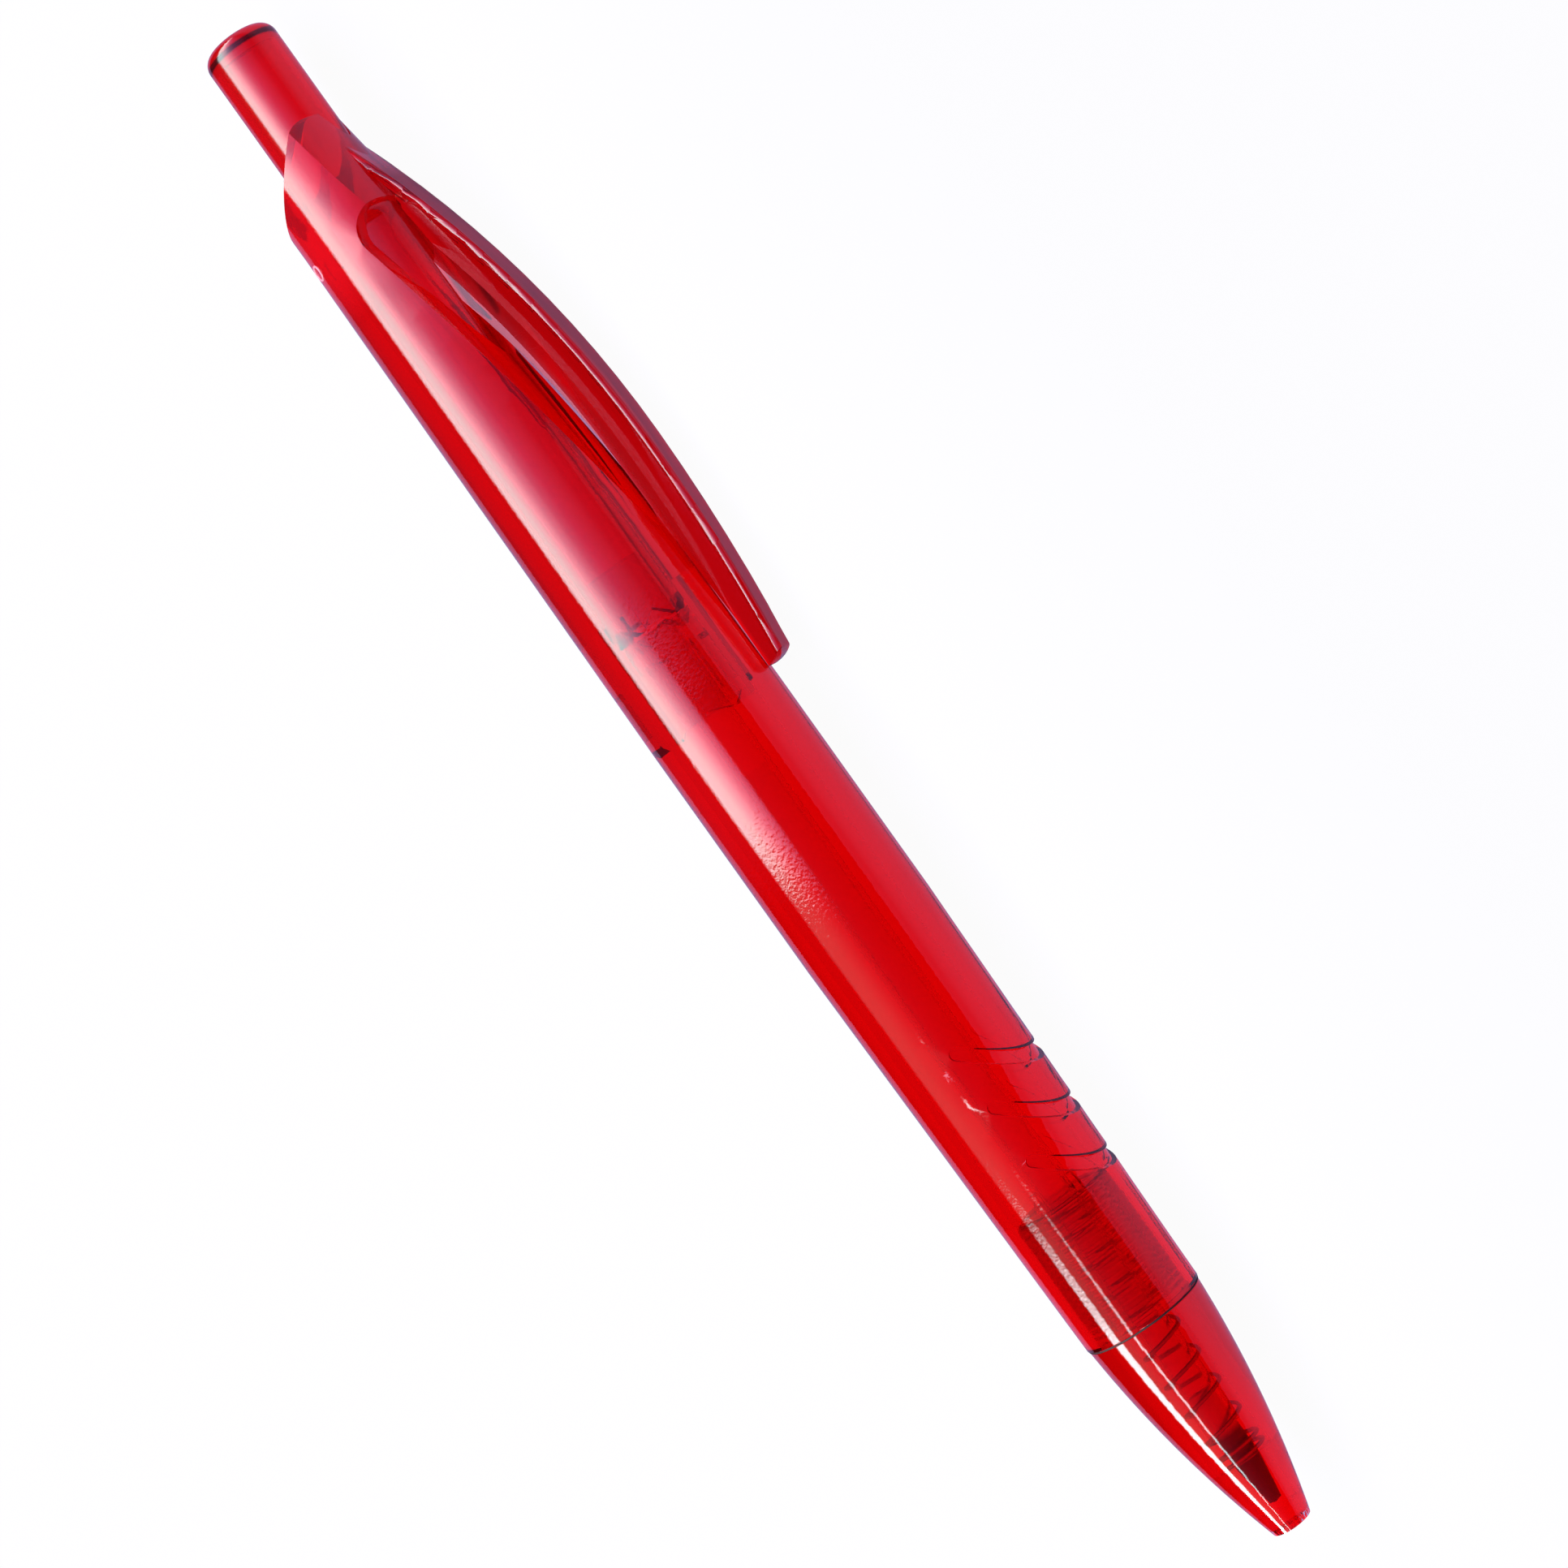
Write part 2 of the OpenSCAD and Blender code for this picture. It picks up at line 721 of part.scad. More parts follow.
// Rotor: hub, toothed shoulder and ribs; at rest its teeth stand tip to tip with the button's
module cam_rotor() {
    top_z = teeth_z - tooth_gap;
    low_z = top_z - rotor_len;
    rib_top_z = top_z - shoulder_len;
    half_tooth = 180 / tooth_count;
    shoulder_r = button_r - button_gap;
    color(deep_red, 0.7)
        lie_down()
            difference() {
                union() {
                    difference() {
                        translate([0, 0, rib_top_z])
                            cylinder(r = shoulder_r, h = shoulder_len);
                        translate([0, 0, top_z])
                            rotate(half_tooth)
                                tooth_notches(-1);
                    }
                    translate([0, 0, low_z])
                        cylinder(r = rotor_r, h = rotor_len - tooth_depth);
                    translate([0, 0, low_z])
                        cylinder(r = hub_r, h = rotor_len + hub_len);
                    for (turn = groove_turns)
                        rotate(turn + rotor_rest_turn)
                            difference() {
                                ring_sector(
                                    rotor_r - sink,
                                    rib_r,
                                    rib_top_z - rotor_rib_len,
                                    rib_top_z + 2 * sink,
                                    0,
                                    rotor_rib_arc
                                );
                                translate([rotor_r, 0, rib_top_z])
                                    rotate([-guide_slant, 0, 0])
                                        translate([-wide / 2, -wide / 2, 0])
                                            cube([wide, wide, wide]);
                            }
                }
                translate([0, 0, low_z - past])
                    cylinder(r = tube_r + refill_gap, h = tube_top_z + sink / 2 - low_z + past);
            }
}

// Spring: one wire wound up the axis, with closed turns at both ends
closed_pitch = wire_d + closed_gap;
wound_len = spring_len - wire_d - 2 * spring_seat_gap;
open_pitch = (wound_len - 2 * closed_turns * closed_pitch) / open_turns;
all_turns = open_turns + 2 * closed_turns;
rings_per_turn = 8;
wire_sides = 6;

function climb(t) = closed_pitch * min(t, closed_turns)
    + open_pitch * max(0, min(t - closed_turns, open_turns))
    + closed_pitch * max(0, t - closed_turns - open_turns);
function coil_point(t) = [
    coil_r * cos(360 * t),
    coil_r * sin(360 * t),
    seat_z + spring_seat_gap + wire_d / 2 + climb(t)
];
function coil_way(t) = [-sin(360 * t), cos(360 * t), 0];
function coil_out(t) = [cos(360 * t), sin(360 * t), 0];
coil_turns = [for (i = [0 : all_turns * rings_per_turn]) i / rings_per_turn];
wire_mids = concat(
    [coil_point(0) - wire_d * coil_way(0)],
    [for (t = coil_turns) coil_point(t)],
    [coil_point(all_turns) + wire_d * coil_way(all_turns)]
);
wire_turns = concat([0], coil_turns, [all_turns]);
wire_rings = [
    for (i = [0 : len(wire_mids) - 1])
        for (k = [0 : wire_sides - 1])
            wire_mids[i]
            + wire_d / 2 * cos(360 * k / wire_sides) * coil_out(wire_turns[i])
            + wire_d / 2 * sin(360 * k / wire_sides) * [0, 0, 1]
];
last_ring = (len(wire_mids) - 1) * wire_sides;
wire_faces = concat(
    [
        for (i = [0 : len(wire_mids) - 2])
            for (k = [0 : wire_sides - 1])
                let (a = i * wire_sides + k, b = i * wire_sides + (k + 1) % wire_sides)
                    each [[a, b, a + wire_sides], [b, b + wire_sides, a + wire_sides]]
    ],
    [for (k = [1 : wire_sides - 2]) [0, k + 1, k]],
    [for (k = [1 : wire_sides - 2]) [last_ring, last_ring + k, last_ring + k + 1]]
);

// Least gap between the wire and itself, over points at least three quarters of a turn apart
wire_gap = min([
    for (i = [0 : len(wire_mids) - 1])
        for (j = [i + rings_per_turn * 3 / 4 : 1 : len(wire_mids) - 1])
            norm(wire_mids[i] - wire_mids[j])
]) - wire_d;
echo(spring_gap_to_itself = wire_gap);

module return_spring() {
    color(steel)
        lie_down()
            polyhedron(points = wire_rings, faces = wire_faces);
}

module ink_tube() {
    color("#f0b8b0", 0.5)
        lie_down()
            difference() {
                union() {
                    translate([0, 0, tube_front_z])
                        cylinder(r = tube_r, h = tube_top_z - tube_front_z);
                    intersection() {
                        translate([-ear_r, -ear_w / 2, ear_z])
                            cube([2 * ear_r, ear_w, ear_len]);
                        translate([0, 0, ear_z - past])
                            cylinder(r = ear_r, h = ear_len + 2 * past);
                    }
                }
                translate([0, 0, tube_front_z - past])
                    cylinder(r = tube_bore_r, h = pen_len);
            }
}

module ink() {
    color(ink_red)
        lie_down()
            translate([0, 0, tube_front_z + tip_tail])
                cylinder(r = tube_bore_r - fill_gap, h = ink_len);
}

ball_z = tip_back + ball_r;

module writing_tip() {
    lip_z = tip_back + ball_out * ball_r;
    seat_r = ball_r + ball_gap;
    collar_r = seat_r + lip_wall;
    cone_rate = (tip_r - collar_r) / (tip_cone - ball_r);
    tail_z = tube_front_z + tip_tail - sink;
    color(brass)
        lie_down()
            difference() {
                rotate_extrude()
                    polygon([
                        [0, lip_z],
                        [collar_r - (ball_z - lip_z) * cone_rate, lip_z],
                        [tip_r, tip_back + tip_cone],
                        [tip_r, tube_front_z],
                        [tube_bore_r - fill_gap, tube_front_z],
                        [tube_bore_r - fill_gap, tail_z],
                        [0, tail_z]
                    ]);
                translate([0, 0, ball_z])
                    sphere(r = seat_r);
                translate([0, 0, ball_z])
                    cylinder(r = feed_r, h = pen_len);
            }
}

module ball() {
    color(steel)
        lie_down()
            translate([0, 0, ball_z])
                sphere(r = ball_r);
}

barrel();
nose_cone();
push_button();
cam_rotor();
return_spring();
ink_tube();
ink();
writing_tip();
ball();
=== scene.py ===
"""Looks of a translucent red pushbutton ballpoint pen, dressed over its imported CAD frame."""

import logging
import math
from dataclasses import dataclass
from enum import Enum
from typing import Any

import bmesh
import bpy
from mathutils import Matrix, Vector

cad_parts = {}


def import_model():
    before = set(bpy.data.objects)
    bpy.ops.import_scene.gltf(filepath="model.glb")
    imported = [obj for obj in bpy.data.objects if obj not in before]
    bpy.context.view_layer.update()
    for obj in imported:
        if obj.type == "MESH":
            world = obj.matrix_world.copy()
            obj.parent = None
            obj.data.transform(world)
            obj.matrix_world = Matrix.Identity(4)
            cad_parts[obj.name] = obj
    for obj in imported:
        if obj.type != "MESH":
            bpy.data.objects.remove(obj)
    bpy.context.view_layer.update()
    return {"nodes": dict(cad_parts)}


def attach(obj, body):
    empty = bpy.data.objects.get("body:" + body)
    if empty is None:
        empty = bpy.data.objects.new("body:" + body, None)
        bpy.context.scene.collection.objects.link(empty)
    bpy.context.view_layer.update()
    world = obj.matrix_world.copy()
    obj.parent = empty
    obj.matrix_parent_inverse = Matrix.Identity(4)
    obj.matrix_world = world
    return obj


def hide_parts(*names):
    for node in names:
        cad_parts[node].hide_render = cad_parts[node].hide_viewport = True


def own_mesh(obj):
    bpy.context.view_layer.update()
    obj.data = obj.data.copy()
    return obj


LOG = logging.getLogger("pen")
MM = 0.001
# Points of a new mesh that lie nearer than this, in metres, are one point.
WELD_M = 1e-7
# Degrees from the near horizon, over the pen, to the far one.
HALF_TURN = 180
# Specular level that leaves a surface with the reflection of its own IOR.
PLAIN_SHINE = 0.5
# The pen's axis runs along X at this y and z in mm, and the clip looks this way from it.
AXIS_Y, AXIS_Z = 1.4703, 5.72
CLIP_WAY = (0.0, -0.8813, -0.4726)

Colour = tuple[float, float, float, float]
Triple = tuple[float, float, float]
Span = tuple[float, float]
Links = dict[str, bpy.types.NodeSocket]


class Body(str, Enum):
    """Rigid bodies that the new pieces ride on."""

    BARREL = "barrel"


class Slot(str, Enum):
    """Names of finish slots, which nothing in this script uses."""

    BARREL_PLASTIC = "barrel_plastic"
    SPRING_STEEL = "spring_steel"


class Node(str, Enum):
    """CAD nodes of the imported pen."""

    BARREL = "barrel"
    NOSE = "nose_cone"
    BUTTON = "push_button"
    ROTOR = "cam_rotor"
    SPRING = "return_spring"
    TUBE = "ink_tube"
    INK = "ink"
    TIP = "writing_tip"
    BALL = "ball"


def linear(colour: str) -> Colour:
    """Turns an sRGB hex colour to linear light.

    Args:
        colour: Six hex digits, with or without a leading hash.

    Returns:
        Linear red, green, blue and an alpha of 1.
    """
    digits = colour.lstrip("#")
    parts = [int(digits[i : i + 2], 16) / 255 for i in (0, 2, 4)]
    # The curve is the one of the sRGB standard.
    low = [p / 12.92 if p <= 0.04045 else ((p + 0.055) / 1.055) ** 2.4 for p in parts]
    return (low[0], low[1], low[2], 1.0)


def grey(level: float) -> Colour:
    """Gives a grey of this level in linear light."""
    return (level, level, level, 1.0)


def metres(span: Span) -> Span:
    """Turns a span from mm to metres."""
    return (span[0] * MM, span[1] * MM)


def add(
    tree: bpy.types.NodeTree,
    kind: str,
    settings: dict[str, Any] | None = None,
    values: dict[str | int, Any] | None = None,
    links: dict[str | int, bpy.types.NodeSocket] | None = None,
) -> bpy.types.Node:
    """Adds a shader node with its settings, socket values and links.

    Args:
        tree: Node tree that takes the node.
        kind: Blender's type name of the node.
        settings: Properties of the node itself.
        values: Constants for input sockets, by name or index.
        links: Output sockets to join to input sockets, by name or index.

    Returns:
        The new node.
    """
    node = tree.nodes.new(kind)
    for name, value in (settings or {}).items():
        setattr(node, name, value)
    for name, value in (values or {}).items():
        node.inputs[name].default_value = value
    for name, socket in (links or {}).items():
        tree.links.new(socket, node.inputs[name])
    return node


def graded(
    tree: bpy.types.NodeTree,
    value: bpy.types.NodeSocket,
    span: Span = (0.0, 1.0),
    low: float = 0.0,
    high: float = 1.0,
) -> bpy.types.NodeSocket:
    """Maps a value from one range to another and holds it at the ends.

    Args:
        tree: Tree that takes the node.
        value: Value to map.
        span: Where the change starts and ends.
        low: Result before the start.
        high: Result after the end.

    Returns:
        The result's socket.
    """
    return add(
        tree,
        "ShaderNodeMapRange",
        values={1: span[0], 2: span[1], 3: low, 4: high},
        links={0: value},
    ).outputs[0]


def combined(
    tree: bpy.types.NodeTree,
    operation: str,
    first: bpy.types.NodeSocket,
    second: bpy.types.NodeSocket | float,
) -> bpy.types.NodeSocket:
    """Joins two values by an operation of the Math node.

    Args:
        tree: Tree that takes the node.
        operation: Blender's name of the operation.
        first: First value.
        second: Second value, as a socket or a constant.

    Returns:
        The result's socket.
    """
    fixed = isinstance(second, float)
    return add(
        tree,
        "ShaderNodeMath",
        {"operation": operation},
        values={1: second} if fixed else None,
        links={0: first} if fixed else {0: first, 1: second},
    ).outputs[0]


def faded(
    tree: bpy.types.NodeTree, share: bpy.types.NodeSocket, first: str, second: str
) -> bpy.types.NodeSocket:
    """Fades from one colour to another.

    Args:
        tree: Tree that takes the node.
        share: How much there is of the second colour.
        first: First colour in sRGB hex.
        second: Second colour in sRGB hex.

    Returns:
        The colour's socket.
    """
    return add(
        tree,
        "ShaderNodeMix",
        {"data_type": "RGBA"},
        values={6: linear(first), 7: linear(second)},
        links={0: share},
    ).outputs[2]


def along_pen(
    tree: bpy.types.NodeTree, place: bpy.types.Node, span: Span, low: float = 0.0, high: float = 1.0
) -> bpy.types.NodeSocket:
    """Gives a value that changes between two places along the pen.

    Args:
        tree: Tree of the material.
        place: Its Texture Coordinate node.
        span: Where the change starts and ends, in mm of X.
        low: Value before the start.
        high: Value after the end.

    Returns:
        The value's socket.
    """
    parts = add(tree, "ShaderNodeSeparateXYZ", links={0: place.outputs["Object"]})
    return graded(tree, parts.outputs[0], metres(span), low, high)


@dataclass(frozen=True)
class Finish:
    """A finish that is named for its real material and makes it."""

    name: str
    colour: str

    def make(self) -> bpy.types.Material:
        """Builds the material.

        Returns:
            The material with its nodes.
        """
        material = bpy.data.materials.new(self.name)
        material.use_nodes = True
        material.node_tree.nodes.clear()
        self.fill(material.node_tree, add(material.node_tree, "ShaderNodeTexCoord"))
        return material

    def fill(self, tree: bpy.types.NodeTree, place: bpy.types.Node) -> None:
        """Fills the material's tree, which each kind of finish does in its own way."""
        raise NotImplementedError

    def varied(self, tree: bpy.types.NodeTree, place: bpy.types.Node) -> Links:
        """Leaves the finish even all over."""
        return {}


@dataclass(frozen=True)
class ClearMoulding(Finish):
    """Dyed clear plastic from a polished tool, glassy and glowing where light comes through."""

    colour: str = "#ff1221"
    see_through: float = 0.975
    roughness: float = 0.04
    ior: float = 1.57
    dye: str = "#f7306c"
    dye_per_m: float = 900.0
    peel_mm: float = 0.28
    peel_depth_mm: float = 0.0011

    def fill(self, tree: bpy.types.NodeTree, place: bpy.types.Node) -> None:
        """Makes a refracting plastic, tinted at its skin and deeper through its thickness.

        Args:
            tree: Tree of the material.
            place: Its Texture Coordinate node.
        """
        shader = add(
            tree,
            "ShaderNodeBsdfPrincipled",
            values={
                "Base Color": linear(self.colour),
                "Roughness": self.roughness,
                "IOR": self.ior,
                "Transmission Weight": self.see_through,
            },
            links={"Normal": self.skin(tree, place)} | self.varied(tree, place),
        )
        dye = add(
            tree,
            "ShaderNodeVolumeAbsorption",
            values={"Color": linear(self.dye), "Density": self.dye_per_m},
        )
        add(
            tree,
            "ShaderNodeOutputMaterial",
            links={"Surface": shader.outputs[0], "Volume": dye.outputs[0]},
        )

    def skin(self, tree: bpy.types.NodeTree, place: bpy.types.Node) -> bpy.types.NodeSocket:
        """Gives the faint orange peel that breaks up the highlight.

        Args:
            tree: Tree of the material.
            place: Its Texture Coordinate node.

        Returns:
            A normal for the shader.
        """
        peel = add(
            tree,
            "ShaderNodeTexNoise",
            values={"Scale": 1 / (self.peel_mm * MM), "Detail": 1.0},
            links={"Vector": place.outputs["Object"]},
        )
        return add(
            tree,
            "ShaderNodeBump",
            values={"Strength": 1.0, "Distance": self.peel_depth_mm * MM},
            links={"Height": peel.outputs[0]},
        ).outputs[0]


@dataclass(frozen=True)
class BarrelMoulding(ClearMoulding):
    """The barrel's plastic, with painted shade as a deeper red on clip and heel, a matte clip face
    with a dimmed reflection, and a cloudy collar with sink marks.
    """

    peel_depth_mm: float = 0.0035
    # Painted shade: clip and heel face down, away from the light, so they get a deeper red and
    # their outer face a dimmed reflection.
    clip_shade_colour: str = "#c40e1c"
    clip_matte: float = 0.38
    clip_from: Span = (5.9, 6.3)
    clip_face: Span = (0.55, 0.8)
    clip_shade_shine: float = 0.15
    heel_from: Span = (30.0, 40.0)
    heel_reach: Span = (3.0, 4.5)
    collar_from: Span = (46.0, 50.0)
    collar_see_through: float = 0.8
    sink_from: Span = (46.0, 54.0)
    sink_mm: float = 2.6
    sink_depth_mm: float = 0.025

    def skin(self, tree: bpy.types.NodeTree, place: bpy.types.Node) -> bpy.types.NodeSocket:
        """Adds shallow sink marks at the thick collar to the orange peel.

        Args:
            tree: Tree of the material.
            place: Its Texture Coordinate node.

        Returns:
            A normal for the shader.
        """
        waves = add(
            tree,
            "ShaderNodeTexNoise",
            values={"Scale": 1 / (self.sink_mm * MM), "Detail": 0.0},
            links={"Vector": place.outputs["Object"]},
        )
        return add(
            tree,
            "ShaderNodeBump",
            values={"Distance": self.sink_depth_mm * MM},
            links={
                "Height": waves.outputs[0],
                "Strength": along_pen(tree, place, self.sink_from),
                "Normal": super().skin(tree, place),
            },
        ).outputs[0]

    def varied(self, tree: bpy.types.NodeTree, place: bpy.types.Node) -> Links:
        """Paints shade on clip and heel as a deeper red, dulls their outer face and dims its
        reflection as painted shade, and makes the thick collar a little cloudy.

        Args:
            tree: Tree of the material.
            place: Its Texture Coordinate node.

        Returns:
            The links of the shader that differ over the moulding.
        """
        arm = add(
            tree,
            "ShaderNodeVectorMath",
            {"operation": "SUBTRACT"},
            values={1: (0.0, AXIS_Y * MM, AXIS_Z * MM)},
            links={0: place.outputs["Object"]},
        )
        # How far a point stands out on the clip's side, and how much it faces that way.
        reach, facing = (
            add(
                tree,
                "ShaderNodeVectorMath",
                {"operation": "DOT_PRODUCT"},
                values={1: CLIP_WAY},
                links={0: vector},
            ).outputs["Value"]
            for vector in (arm.outputs[0], place.outputs["Normal"])
        )
        on_clip = graded(tree, reach, metres(self.clip_from))
        beside = graded(tree, reach, metres(self.heel_reach))
        heel = combined(tree, "MULTIPLY", beside, along_pen(tree, place, self.heel_from))
        # Painted shade goes on the clip and on the heel beside its root.
        thick = combined(tree, "MAXIMUM", on_clip, heel)
        outer = combined(tree, "MULTIPLY", thick, graded(tree, facing, self.clip_face))
        return {
            "Roughness": graded(tree, outer, low=self.roughness, high=self.clip_matte),
            "Specular IOR Level": graded(tree, outer, low=PLAIN_SHINE, high=self.clip_shade_shine),
            "Base Color": faded(tree, thick, self.colour, self.clip_shade_colour),
            "Transmission Weight": along_pen(
                tree, place, self.collar_from, self.see_through, self.collar_see_through
            ),
        }


@dataclass(frozen=True)
class NoseMoulding(ClearMoulding):
    """The nose cone's plastic, with the screw thread of its spigot."""

    thread_mm: float = 0.55
    thread_depth_mm: float = 0.08
    spigot_from: Span = (-50.2, -49.6)

    def skin(self, tree: bpy.types.NodeTree, place: bpy.types.Node) -> bpy.types.NodeSocket:
        """Adds the turns of the thread on the spigot to the orange peel.

        Args:
            tree: Tree of the material.
            place: Its Texture Coordinate node.

        Returns:
            A normal for the shader.
        """
        # A wave of scale s has 10 s / pi turns to the metre.
        turns = add(
            tree,
            "ShaderNodeTexWave",
            {"wave_type": "BANDS", "bands_direction": "X", "wave_profile": "SIN"},
            values={"Scale": math.pi / 10 / (self.thread_mm * MM)},
            links={"Vector": place.outputs["Object"]},
        )
        return add(
            tree,
            "ShaderNodeBump",
            values={"Distance": self.thread_depth_mm * MM},
            links={
                "Height": turns.outputs["Fac"],
                "Strength": along_pen(tree, place, self.spigot_from),
                "Normal": super().skin(tree, place),
            },
        ).outputs[0]


@dataclass(frozen=True)
class ButtonMoulding(ClearMoulding):
    """The button's plastic, deeper and less polished at its thick head than along its thin tube."""

    head_colour: str = "#f01221"
    head_roughness: float = 0.13
    head_from: Span = (56.0, 60.0)

    def varied(self, tree: bpy.types.NodeTree, place: bpy.types.Node) -> Links:
        """Deepens the colour and dulls the gloss towards the head.

        Args:
            tree: Tree of the material.
            place: Its Texture Coordinate node.

        Returns:
            The colour and roughness links of the shader.
        """
        head = along_pen(tree, place, self.head_from)
        return {
            "Base Color": faded(tree, head, self.colour, self.head_colour),
            "Roughness": graded(tree, head, low=self.roughness, high=self.head_roughness),
        }


@dataclass(frozen=True)
class PlainFinish(Finish):
    """An opaque finish with a fine mottle in its gloss."""

    metallic: float
    roughness: float
    grain_mm: float = 0.3
    mottle: float = 0.2

    def fill(self, tree: bpy.types.NodeTree, place: bpy.types.Node) -> None:
        """Makes an opaque surface whose roughness varies a little.

        Args:
            tree: Tree of the material.
            place: Its Texture Coordinate node.
        """
        grain = add(
            tree,
            "ShaderNodeTexNoise",
            values={"Scale": 1 / (self.grain_mm * MM), "Detail": 2.0},
            links={"Vector": place.outputs["Object"]},
        )
        low, high = (self.roughness * (1 + way * self.mottle) for way in (-1, 1))
        gloss = graded(tree, grain.outputs[0], low=low, high=high)
        shader = add(
            tree,
            "ShaderNodeBsdfPrincipled",
            values={"Base Color": linear(self.colour), "Metallic": self.metallic},
            links={"Roughness": gloss} | self.varied(tree, place),
        )
        add(tree, "ShaderNodeOutputMaterial", links={"Surface": shader.outputs[0]})


@dataclass(frozen=True)
class TurnedTip(PlainFinish):
    """Turned metal with a bright shank and a darker cone."""

    shank_colour: str = "#f0d8c0"
    shank_from: Span = (-61.2, -60.4)

    def varied(self, tree: bpy.types.NodeTree, place: bpy.types.Node) -> Links:
        """Brightens the shank behind the cone.

        Args:
            tree: Tree of the material.
            place: Its Texture Coordinate node.

        Returns:
            The colour link of the shader.
        """
        shank = along_pen(tree, place, self.shank_from)
        return {"Base Color": faded(tree, shank, self.colour, self.shank_colour)}


@dataclass(frozen=True)
class PaperSweep(Finish):
    """White paper: white to the camera and through the plastic, with a painted lilac reflection
    where the pen mirrors it.
    """

    # Painted shade: the paper's colour darkens away from the pen.
    far_colour: str = "#504261"
    near_span: Span = (-45.0, -12.0)
    white_share: float = 0.9
    white_strength: float = 1.07
    gloss_share: float = 0.8
    gloss_strength: float = 2.6

    def fill(self, tree: bpy.types.NodeTree, place: bpy.types.Node) -> None:
        """Mixes dim lit paper, which keeps the shadow, with the white that the camera sees and a
        painted lilac reflection.

        Args:
            tree: Tree of the material.
            place: Its Texture Coordinate node.
        """
        path = add(tree, "ShaderNodeLightPath").outputs
        seen = combined(tree, "MAXIMUM", path["Is Camera Ray"], path["Is Transmission Ray"])
        # A ray through a rough skin counts as glossy too, so only reflected ones are taken.
        bounced = combined(tree, "MULTIPLY", path["Is Glossy Ray"], path["Is Reflection Ray"])
        across = add(tree, "ShaderNodeSeparateXYZ", links={0: place.outputs["Object"]})
        near = graded(tree, across.outputs[1], metres(self.near_span))
        shade = faded(tree, near, self.far_colour, self.colour)
        shader = add(tree, "ShaderNodeBsdfDiffuse", links={"Color": shade})
        white = add(tree, "ShaderNodeEmission", values={"Strength": self.white_strength})
        # Painted reflection: reflected rays see the paper glowing lilac.
        lilac = add(
            tree,
            "ShaderNodeEmission",
            values={"Strength": self.gloss_strength},
            links={"Color": shade},
        )
        for rays, share, shown in (
            (seen, self.white_share, white),
            (bounced, self.gloss_share, lilac),
        ):
            shader = add(
                tree,
                "ShaderNodeMixShader",
                links={
                    0: combined(tree, "MULTIPLY", rays, share),
                    1: shader.outputs[0],
                    2: shown.outputs[0],
                },
            )
        add(tree, "ShaderNodeOutputMaterial", links={"Surface": shader.outputs[0]})


def finish_mesh(name: str, shape: bmesh.types.BMesh) -> bpy.types.Object:
    """Turns a bmesh to a smooth object at the origin.

    Args:
        name: Name of the piece.
        shape: Finished bmesh, which is freed.

    Returns:
        The linked object.
    """
    for face in shape.faces:
        face.smooth = True
    mesh = bpy.data.meshes.new(name)
    shape.to_mesh(mesh)
    shape.free()
    piece = bpy.data.objects.new(name, mesh)
    bpy.context.scene.collection.objects.link(piece)
    return piece


def dress(piece: bpy.types.Object, finish: Finish) -> None:
    """Puts one finish on a piece and reports it.

    Args:
        piece: CAD node or new piece.
        finish: Finish for all its faces.
    """
    piece.data.materials.clear()
    piece.data.materials.append(finish.make())
    LOG.info("%s: %s", piece.name, finish.name)


@dataclass(frozen=True)
class Ring:
    """A thin ring of round section that marks the shell."""

    name: str
    centre: Triple
    way: Triple
    radius: float
    thickness: float
    steps: int
    sides: int = 12

    def build(self) -> bpy.types.Object:
        """Spins a small circle round the ring's axis.

        Returns:
            The ring's object, riding on the barrel.
        """
        shape = bmesh.new()
        centre = Vector(self.centre) * MM
        way = Vector(self.way).normalized()
        arm = way.orthogonal().normalized()
        tangent = way.cross(arm)
        section = bmesh.ops.create_circle(
            shape,
            segments=self.sides,
            radius=self.thickness / 2 * MM,
            matrix=Matrix.Translation(centre + arm * self.radius * MM)
            @ tangent.to_track_quat("Z", "Y").to_matrix().to_4x4(),
        )
        bmesh.ops.spin(
            shape,
            geom=list(section["verts"]) + list(shape.edges),
            cent=centre,
            axis=way,
            angle=2 * math.pi,
            steps=self.steps,
            use_merge=True,
        )
        bmesh.ops.remove_doubles(shape, verts=shape.verts, dist=WELD_M)
        bmesh.ops.recalc_face_normals(shape, faces=shape.faces)
        ring = finish_mesh(self.name, shape)
        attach(ring, Body.BARREL.value)
        return ring


@dataclass
class Shell:
    """Barrel with its clip, and nose cone, with painted shadow in the seam between them and the
    mark of the gate.
    """

    # Moulded polystyrene: glassy, with a window-shaped highlight that fine orange peel breaks up.
    barrel: BarrelMoulding = BarrelMoulding("moulded_red_polystyrene")
    # The same, with a thread on the spigot that shows as fine lines through the barrel's wall.
    nose: NoseMoulding = NoseMoulding("moulded_red_nose")
    # Painted shadow in the seam's groove: a dull line, nearly black against the red.
    seam_shadow: PlainFinish = PlainFinish("painted_seam_shadow", "#2a0508", 0.0, 0.7)
    # Plastic that was torn off at the gate: paler than the rest, because its skin scatters light.
    torn: PlainFinish = PlainFinish("sheared_gate_plastic", "#d87884", 0.0, 0.35)
    seam: Ring = Ring("seam_line", (-50.3, AXIS_Y, AXIS_Z), (1, 0, 0), 5.03, 0.18, 96)
    gate: Ring = Ring("gate_scar", (51.16, 3.87, 10.48), (0, 0.4508, 0.8925), 0.6, 0.2, 32)

    def build(self, nodes: dict[str, bpy.types.Object]) -> None:
        """Dresses the two mouldings and adds their marks.

        Args:
            nodes: CAD nodes by name.
        """
        dress(nodes[Node.BARREL.value], self.barrel)
        dress(nodes[Node.NOSE.value], self.nose)
        dress(self.seam.build(), self.seam_shadow)
        dress(self.gate.build(), self.torn)


